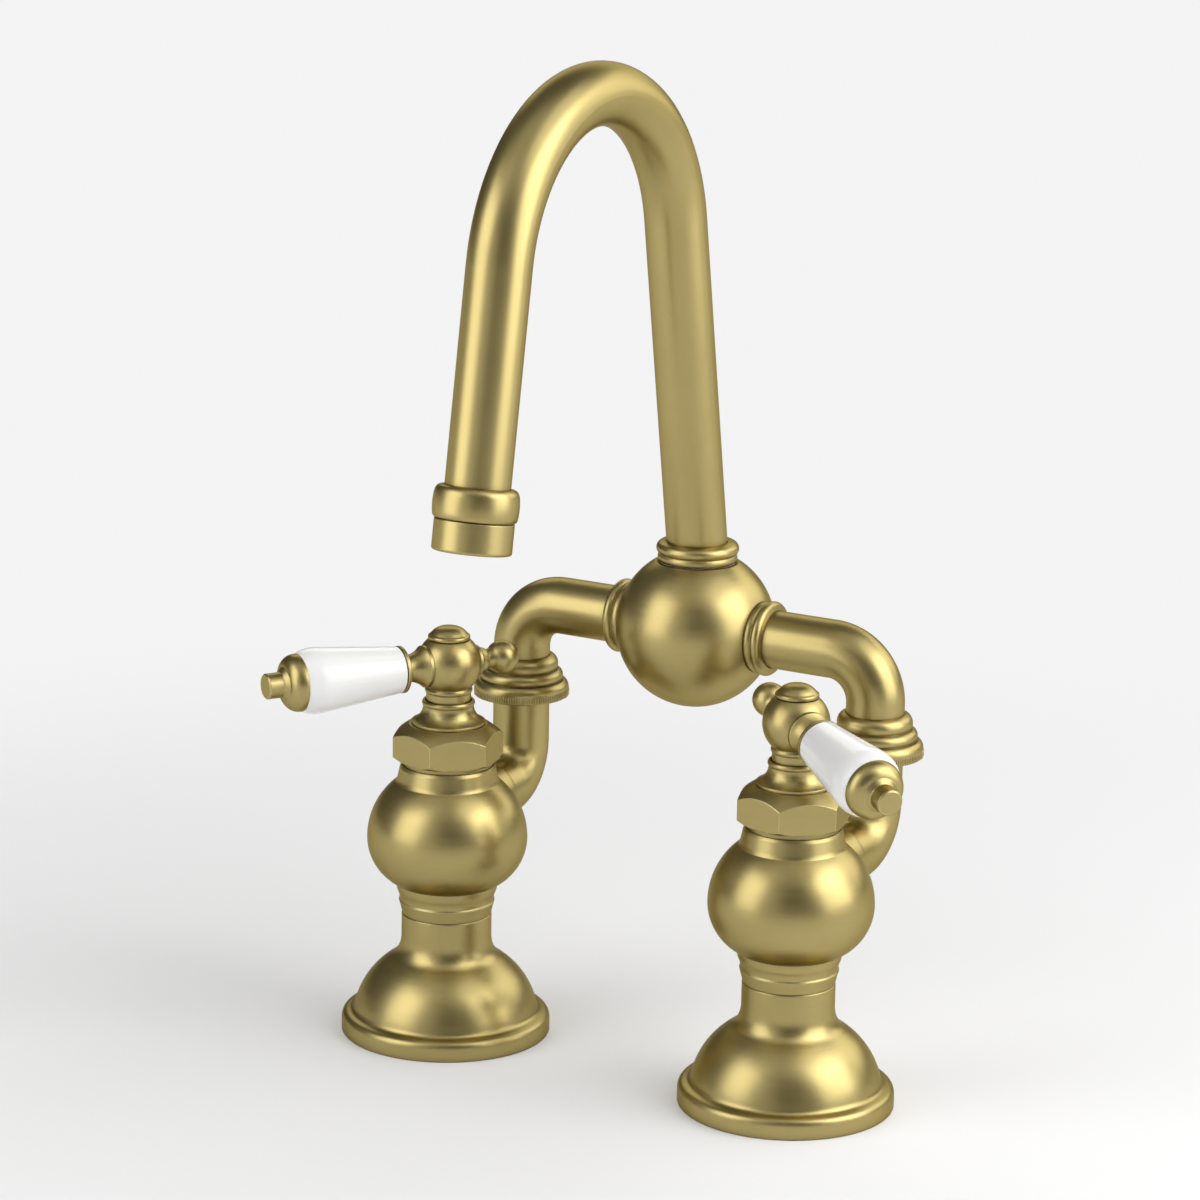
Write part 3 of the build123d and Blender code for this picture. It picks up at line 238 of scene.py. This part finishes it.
class Recipe:
    """A geometry tree with named inputs for its sizes. add() adds one step, and make() runs the tree."""

    def __init__(self, name, sizes):
        self.name = name
        self.sizes = sizes
        self.tree = bpy.data.node_groups.new(name, "GeometryNodeTree")
        self.tree.is_modifier = True
        self.tree.interface.new_socket("Geometry", in_out="INPUT", socket_type="NodeSocketGeometry")
        self.tree.interface.new_socket("Geometry", in_out="OUTPUT", socket_type="NodeSocketGeometry")
        for label, (kind, value) in sizes.items():
            self.tree.interface.new_socket(label, in_out="INPUT", socket_type="NodeSocket" + kind)
        self.given = self.tree.nodes.new("NodeGroupInput").outputs

    def add(self, kind, settings=None, **inputs):
        """Adds a node, sets it up, fills its inputs and returns its first output."""
        made = self.tree.nodes.new(kind)
        for setting, value in (settings or {}).items():
            setattr(made, setting, value)
        for label, value in inputs.items():
            if isinstance(value, bpy.types.NodeSocket):
                self.tree.links.new(value, input_of(made, label))
            else:
                input_of(made, label).default_value = value
        return made.outputs[0]

    def repeat_between(self, shape, first, last):
        """The shape at two places, given by the names of the tree's inputs."""
        places = self.add(
            "GeometryNodeMeshLine", {"mode": "END_POINTS"},
            Count=2, Start_Location=self.given[first], Offset=self.given[last],
        )
        return self.add("GeometryNodeInstanceOnPoints", Points=places, Instance=shape)

    def make(self, shape, material, body):
        """Ends the tree after this shape and keeps its result as a plain mesh on a body."""
        real = self.add("GeometryNodeRealizeInstances", Geometry=shape)
        smooth = self.add("GeometryNodeSetShadeSmooth", Geometry=real)
        finished = self.add("GeometryNodeSetMaterial", Geometry=smooth, Material=material)
        self.tree.links.new(finished, self.tree.nodes.new("NodeGroupOutput").inputs["Geometry"])
        piece = bpy.data.objects.new(self.name, bpy.data.meshes.new(self.name))
        bpy.context.scene.collection.objects.link(piece)
        maker = piece.modifiers.new(self.name, "NODES")
        maker.node_group = self.tree
        for socket in self.tree.interface.items_tree:
            if socket.name in self.sizes:
                maker[socket.identifier] = self.sizes[socket.name][1]
        evaluated = piece.evaluated_get(bpy.context.evaluated_depsgraph_get())
        plain = bpy.data.meshes.new_from_object(evaluated)
        piece.modifiers.clear()
        piece.data = plain
        plain.materials.clear()
        plain.materials.append(material)
        plain.polygons.foreach_set("material_index", [0] * len(plain.polygons))
        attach(piece, body)


rim_and_dome = [
    (25.2, 0), (27.5, 0, 0.4, 0.4), (27.5, 5.1, 1.9, 1.7), (24.4, 5.7, 1.0, 1.2), (21.9, 15.3, 8.4, 8.6),
]
neck_and_waterway = [
    (11.85, 22.0, 3.4, 4.2), (11.85, 32.4, 0.4, 0.4), (8.9, 32.4), (8.9, 21.95), (6.0, 21.95), (6.0, 14.0),
]
threaded_boss = [(10.45, 14.0), (10.45, 1.0, 0.6, 0.6), (13.0, 1.0, 0.4, 0.4), (13.0, 16.5, 1.0, 1.0)]
hollow = [(18.3, 13.4, 2.4, 3.4), (21.8, 6.3), (21.8, 2.0), (25.2, 2.0)]
foot_outline = lathe_outline(rim_and_dome + neck_and_waterway + threaded_boss + hollow)
turned_brass = {side: brushed_brass(f"turned_brass_{side}", centre=post_foot[side]) for side in sides}
for side in sides:
    foot = turn_on_lathe(f"{side}_turned_foot", foot_outline, post_foot[side], upright)
    place_for(foot, turned_brass[side], "fixed_body", f"{side}_base_flange")

thread_turns, thread_pitch, thread_start = 5.8, 0.001814, 0.0022
thread = Recipe("inlet_threads", {
    "Points Per Turn": ("Int", 48),
    "Turns": ("Float", thread_turns),
    "Bore Radius": ("Float", 0.01045),
    "Rise": ("Float", thread_turns * thread_pitch),
    "Ridge Height And Half Width": ("Vector", (0.00113, 0.00085, 1.0)),
    "Left Start": ("Vector", (post_foot["left"][0], 0, thread_start)),
    "Right Start": ("Vector", (post_foot["right"][0], 0, thread_start)),
})
bore_radius = thread.given["Bore Radius"]
helix = thread.add(
    "GeometryNodeCurveSpiral", Resolution=thread.given["Points Per Turn"], Rotations=thread.given["Turns"],
    Start_Radius=bore_radius, End_Radius=bore_radius, Height=thread.given["Rise"], Reverse=True,
)
level_helix = thread.add("GeometryNodeSetCurveNormal", {"mode": "Z_UP"}, Curve=helix)
diamond = thread.add("GeometryNodeCurvePrimitiveCircle", {"mode": "RADIUS"}, Resolution=4, Radius=1.0)
thread_ridge = thread.add(
    "GeometryNodeTransform", Geometry=diamond, Scale=thread.given["Ridge Height And Half Width"],
)
coil = thread.add("GeometryNodeCurveToMesh", Curve=level_helix, Profile_Curve=thread_ridge, Fill_Caps=True)
both_coils = thread.repeat_between(coil, "Left Start", "Right Start")
thread.make(both_coils, turned_brass["left"], "fixed_body")


# Gaskets: flat rings of black rubber, cut from sheet. Each lies in a recess under the rim of a foot, flush
# with it, and seals it on the deck.
def plain_finish(name, light, dark, fineness, roughness, relief, metallic=0.0):
    """A finish of two close colours with its own fineness of grain."""
    material, shader, shade = finish(name, Metallic=metallic)
    place = shade.node("TexCoord", output="Object")
    grain = shade.node("TexNoise", Vector=place, Scale=fineness, Detail=4.0)
    lowest, highest = roughness
    feed(shader, "Base Color", shade.mix(grain, (*dark, 1), (*light, 1)))
    feed(shader, "Roughness", lowest + grain * (highest - lowest))
    feed(shader, "Normal", shade.node("Bump", Strength=0.3, Distance=relief, Height=grain))
    return material


rubber = plain_finish(
    "black_rubber", light=(0.030, 0.030, 0.031), dark=(0.014, 0.014, 0.015),
    fineness=900.0, roughness=(0.55, 0.8), relief=0.0001,
)
dress(rubber, "base_gaskets")

# Valve bodies: cast brass with a cup, a bulb and a neck, turned outside after casting and set in the feet.
# A thin trim ring lies round the side tube where it leaves the bulb.
for side in sides:
    dress(turned_brass[side], f"{side}_valve_body", f"{side}_port_collar")


# Side tubes and unions: brass tubes bent upward, with a threaded ring brazed on top. A turned union nut with
# two beads holds the bridge's elbow on it over a red fibre washer. Fine ridges are cut round the nut's rim,
# so that it can be gripped by hand.
def each_side(*names):
    """Names of the left and right nodes."""
    return [f"{side}_{name}" for side in sides for name in names]


tube_brass = brushed_brass("tube_brass", line_depth=0.0)
fibre = plain_finish(
    "red_fibre", light=(0.42, 0.11, 0.07), dark=(0.30, 0.07, 0.05),
    fineness=700.0, roughness=(0.6, 0.8), relief=0.0001,
)
dress(tube_brass, *each_side("side_tube", "union_spigot", "bridge_elbow"))
dress(fibre, "union_washers")
for side in sides:
    dress(turned_brass[side], f"{side}_union_nut")

bridge_back = joints["spout_swivel"]["pos_m"][1]
union_x, band_height = 0.0528, 0.0833
serration = Recipe("serrated_bands", {
    "Ridges": ("Int", 120),
    "Band Radius": ("Float", 0.01265),
    "Left Middle": ("Vector", (-union_x, bridge_back, band_height)),
    "Right Middle": ("Vector", (union_x, bridge_back, band_height)),
    "Smallest Ridge": ("Vector", (0.00020, 0.00020, 0.00100)),
    "Largest Ridge": ("Vector", (0.00024, 0.00024, 0.00118)),
    "Seed": ("Int", 7),
})
circle = serration.add(
    "GeometryNodeMeshCircle", {"fill_type": "NONE"},
    Vertices=serration.given["Ridges"], Radius=serration.given["Band Radius"],
)
band_ridge = serration.add("GeometryNodeMeshUVSphere", Segments=6, Rings=5, Radius=1.0)
ridge_size = serration.add(
    "FunctionNodeRandomValue", {"data_type": "FLOAT_VECTOR"}, input0=serration.given["Smallest Ridge"],
    input1=serration.given["Largest Ridge"], Seed=serration.given["Seed"],
)
band = serration.add("GeometryNodeInstanceOnPoints", Points=circle, Instance=band_ridge, Scale=ridge_size)
both_bands = serration.repeat_between(band, "Left Middle", "Right Middle")
serration.make(both_bands, tube_brass, "fixed_body")

# Bridge: two bent elbows meet a hollow brass ball, each brazed to it through a turned collar with two beads.
# A steel screw in the ball's back stops the spout's swivel.
bridge_centre = (0, bridge_back, 0.1083)
ball_brass = brushed_brass("ball_brass", centre=bridge_centre)
cross_brass = brushed_brass("cross_brass", centre=bridge_centre, along=(1, 0, 0))
steel = plain_finish(
    "steel", light=(0.62, 0.62, 0.61), dark=(0.5, 0.5, 0.5),
    fineness=500.0, roughness=(0.3, 0.45), relief=0.00005, metallic=1.0,
)
dress(ball_brass, "center_ball")
dress(cross_brass, *each_side("elbow_collar"))
dress(steel, "spout_stop_screw")

# Cartridges: a brass housing holds two lapped ceramic discs, of which the spindle turns the upper one. Rubber
# seals lie under the fixed disc and round the spindle. A hexagon nut clamps the housing in the valve body,
# and a flared bell covers its top.
ceramic = plain_finish(
    "valve_ceramic", light=(0.86, 0.84, 0.78), dark=(0.80, 0.78, 0.72),
    fineness=300.0, roughness=(0.2, 0.35), relief=0.00002,
)
cartridge_parts = ("cartridge_housing", "valve_spindle", "bonnet_nut", "bonnet_bell")
dress(rubber, *each_side("seat_seal"), "spindle_o_rings")
dress(ceramic, *each_side("fixed_disc", "moving_disc"))
for side in sides:
    dress(turned_brass[side], *(f"{side}_{name}" for name in cartridge_parts))

# Levers: a turned ball hub, fixed on the spindle by a steel screw under a button cap. Its arm carries a grip
# of glazed porcelain, held by an end cap with a knob, and a small counter ball stands opposite. The valves
# stand partly open, as in the photograph.
lever_droop = {"left": radians(0.5), "right": radians(7.0)}
glaze_cool, glaze_warm = (0.90, 0.90, 0.895, 1), (0.86, 0.86, 0.85, 1)


def lever_direction(side):
    """Direction in which a lever points at rest: outward, turned to the front and drooping."""
    out = -1 if side == "left" else 1
    turn = radians(-joints[f"{side}_valve"]["range_deg"][0])
    flat = cos(lever_droop[side])
    return Vector((out * cos(turn) * flat, -sin(turn) * flat, -sin(lever_droop[side])))


def porcelain():
    """White porcelain under a smooth glaze with faint ripples, a trace warmer where the glaze is thin."""
    material, shader, shade = finish("white_porcelain", IOR=1.52)
    place = shade.node("TexCoord", output="Object")
    cloud = shade.node("TexNoise", Vector=place, Scale=60.0, Detail=2.0)
    ripple = shade.node("TexNoise", Vector=place, Scale=240.0, Detail=1.0)
    feed(shader, "Base Color", shade.mix(cloud, glaze_warm, glaze_cool))
    feed(shader, "Roughness", 0.07 + cloud * 0.06)
    feed(shader, "Normal", shade.node("Bump", Strength=0.15, Distance=0.00004, Height=ripple))
    return material


cap_outline = lathe_outline([
    (0, 104.3), (3.95, 104.3), (3.95, 106.3), (4.9, 106.3), (5.5, 106.5, 0.3, 0.4), (5.5, 107.5, 0.4, 0.4),
    (4.95, 107.75, 0.2, 0.3), (3.3, 109.8, 2.2, 2.4), (0, 109.8),
])
counter_neck = lathe_outline([
    (0, 4.25), (2.9, 4.25), (2.9, 7.3), (4.0, 7.3, 0.2, 0.2), (4.0, 8.3, 0.2, 0.2), (3.45, 8.5, 0.2, 0.3),
    (2.7, 11.0, 1.6, 0.8),
])
counter_radius, counter_middle, counter_facets = 0.0044, 0.0155, 64
ball_turns = [radians(turn) for turn in range(38, 180, 6)]
counter_ball = [
    Vector((counter_radius * sin(turn), counter_middle - counter_radius * cos(turn))) for turn in ball_turns
]
counter_tip = Vector((0, counter_middle + counter_radius))
counter_outline = counter_neck + counter_ball + [counter_tip]
glaze = porcelain()
for side in sides:
    hub_middle = joints[f"{side}_valve"]["pos_m"]
    along = lever_direction(side)
    lever_brass = brushed_brass(f"lever_brass_{side}", centre=hub_middle, along=along)
    dress(lever_brass, f"{side}_lever_arm", f"{side}_grip_finial")
    dress(turned_brass[side], f"{side}_lever_hub")
    cap = turn_on_lathe(f"{side}_button_cap", cap_outline, post_foot[side], upright)
    place_for(cap, turned_brass[side], f"{side}_lever", f"{side}_hub_cap")
    counter = turn_on_lathe(f"{side}_counterweight", counter_outline, hub_middle, -along, counter_facets)
    place_for(counter, lever_brass, f"{side}_lever", f"{side}_counter_ball")
    dress(steel, f"{side}_hub_screw")
    dress(glaze, f"{side}_lever_grip")

# Spout: a brass tube bent to a gooseneck and brazed in a beaded collar. Its turned tail swivels in the ball
# on two rubber rings, and a white nylon ring under the collar, set back a little, keeps brass off brass.
nylon = plain_finish(
    "white_nylon", light=(0.80, 0.80, 0.78), dark=(0.74, 0.74, 0.72),
    fineness=500.0, roughness=(0.5, 0.7), relief=0.00005,
)
dress(tube_brass, "spout_tube")
dress(ball_brass, "spout_collar", "spout_stem")
dress(rubber, "spout_o_rings")
glide_outline = lathe_outline([
    (7.3, 125.471), (9.95, 125.471), (9.95, 125.95, 0.1, 0.1), (9.0, 126.0), (9.0, 126.321), (7.3, 126.321),
])
glide_ring = turn_on_lathe("glide_ring", glide_outline, (0, bridge_back, 0), upright)
place_for(glide_ring, nylon, "fixed_body", "spout_glide_ring")

# Outlet: a turned brass collar on the tube's end, with a threaded spigot. The housing screwed on it holds the
# nylon insert of the aerator and a rubber washer. The tube's end, and so the outlet, leans to the user.
outlet_lean = radians(9.5)
outlet_start = (0, -0.069318, 0.166134)
outlet_down = (0, -sin(outlet_lean), -cos(outlet_lean))
outlet_facets = 96
outlet_outline = lathe_outline([
    (7.99, 0), (10.05, 0, 1.7, 2.3), (10.5, 4.4, 1.8, 1.8), (10.2, 7.6, 1.3, 0.4), (9.45, 8.0), (8.3, 8.0),
    (8.3, 11.0), (6.4, 11.0), (6.4, 6.05), (7.99, 6.05),
])
outlet_brass = brushed_brass("outlet_brass", centre=outlet_start, along=outlet_down)
outlet_ring = turn_on_lathe("outlet_ring", outlet_outline, outlet_start, outlet_down, outlet_facets)
place_for(outlet_ring, outlet_brass, "spout", "outlet_collar")
dress(outlet_brass, "aerator_housing")
dress(nylon, "aerator_insert")
dress(rubber, "aerator_washer")

# Studio: a pale floor, a tall soft box on each side, weaker wings and scrims around and above, and the
# photograph's camera. Away from the faucet the floor shows near white to the camera and in reflections, and
# close to it the floor takes the faucet's shadow.
camera_azimuth, camera_elevation, camera_roll = radians(29.835), radians(14.171), radians(1.031)
camera_place = (0.511501, -0.902236, 0.385725)


def from_middle(turn, climb):
    """Direction from the faucet's middle, turned from the front to the right and raised above the floor."""
    return Vector((sin(turn) * cos(climb), -cos(turn) * cos(climb), sin(climb)))


back = from_middle(camera_azimuth, camera_elevation)
level = Vector((cos(camera_azimuth), sin(camera_azimuth), 0))
rise = back.cross(level)
right = level * cos(camera_roll) + rise * sin(camera_roll)
upward = rise * cos(camera_roll) - level * sin(camera_roll)
camera = bpy.data.objects.new("camera", bpy.data.cameras.new("camera"))
bpy.context.scene.collection.objects.link(camera)
camera.data.lens = 127.2
camera.data.sensor_width = 36.0
camera.data.clip_end = 20.0
camera_turn = Matrix((right, upward, back)).transposed()
camera.matrix_world = Matrix.Translation(camera_place) @ camera_turn.to_4x4()
bpy.context.scene.camera = camera

faucet_middle = Vector((0, 0.01, 0.125))


def soft_box(name, turn, climb, distance, width, height, glow):
    """A rectangular soft light aimed at the faucet, turned in degrees from the camera's side and raised above
    the floor. Its power is its glow, which the brass mirrors, times pi and its area."""
    light = bpy.data.lights.new(name, "AREA")
    light.shape = "RECTANGLE"
    light.size = width
    light.size_y = height
    light.energy = glow * pi * width * height
    box = bpy.data.objects.new(name, light)
    bpy.context.scene.collection.objects.link(box)
    toward = from_middle(camera_azimuth + radians(turn), radians(climb))
    aim = toward.to_track_quat("Z", "Y").to_matrix().to_4x4()
    box.matrix_world = Matrix.Translation(faucet_middle + toward * distance) @ aim


soft_box("left_box", turn=-64, climb=20, distance=0.62, width=0.42, height=0.58, glow=2.3)
soft_box("left_wing", turn=-32, climb=16, distance=0.80, width=0.5, height=0.5, glow=0.4)
soft_box("right_box", turn=66, climb=23, distance=0.62, width=0.50, height=0.58, glow=2.75)
soft_box("right_wing", turn=90, climb=20, distance=0.80, width=0.5, height=0.6, glow=0.9)
soft_box("left_scrim", turn=-66, climb=44, distance=1.0, width=0.9, height=0.7, glow=0.35)
soft_box("right_scrim", turn=74, climb=48, distance=1.0, width=1.0, height=0.8, glow=1.3)
soft_box("right_back_scrim", turn=126, climb=24, distance=1.0, width=0.6, height=0.6, glow=2.0)
soft_box("back_scrim", turn=176, climb=28, distance=1.0, width=1.0, height=0.45, glow=1.4)
soft_box("top_scrim", turn=0, climb=70, distance=1.0, width=1.0, height=1.0, glow=0.45)

floor_half = 6.0
near_radius, far_radius, near_share, far_glow = 0.12, 0.45, 0.15, 0.9
floor_mesh = bpy.data.meshes.new("floor")
floor_corners = [(x * floor_half, y * floor_half, 0) for x, y in ((-1, -1), (1, -1), (1, 1), (-1, 1))]
floor_mesh.from_pydata(floor_corners, [], [(0, 1, 2, 3)])
floor = bpy.data.objects.new("floor", floor_mesh)
bpy.context.scene.collection.objects.link(floor)
floor_finish, floor_shader, shade = finish(
    "floor", Base_Color=(0.86, 0.86, 0.86, 1), Roughness=0.9, Specular_IOR_Level=0.0,
)
place = shade.node("TexCoord", output="Object")
distance = shade.node("VectorMath", {"operation": "LENGTH"}, "Value", Vector=place)
far = shade.node(
    "MapRange", {"interpolation_type": "SMOOTHSTEP"},
    Value=distance, From_Min=near_radius, From_Max=far_radius, To_Min=near_share,
)
camera_ray = shade.node("LightPath", output="Is Camera Ray")
glossy_ray = shade.node("LightPath", output="Is Glossy Ray")
through_ray = shade.node("LightPath", output="Is Transmission Ray")
mirrored = shade.calculate("MAXIMUM", glossy_ray, through_ray)
seen = shade.calculate("MAXIMUM", camera_ray, mirrored)
glow = shade.node("Emission", Color=(1, 1, 1, 1), Strength=far_glow)
lit = Shade(shade.tree, floor_shader.outputs[0])
mixed = shade.node("MixShader", Fac=far * seen, input1=lit, input2=glow)
feed(shade.tree.nodes["Material Output"], "Surface", mixed)
floor_mesh.materials.append(floor_finish)

world = bpy.data.worlds.new("studio")
bpy.context.scene.world = world
world.use_nodes = True
sky = world.node_tree.nodes["Background"]
sky.inputs["Color"].default_value = (1, 1, 1, 1)
sky.inputs["Strength"].default_value = 0.12
bpy.context.scene.view_settings.view_transform = "Standard"
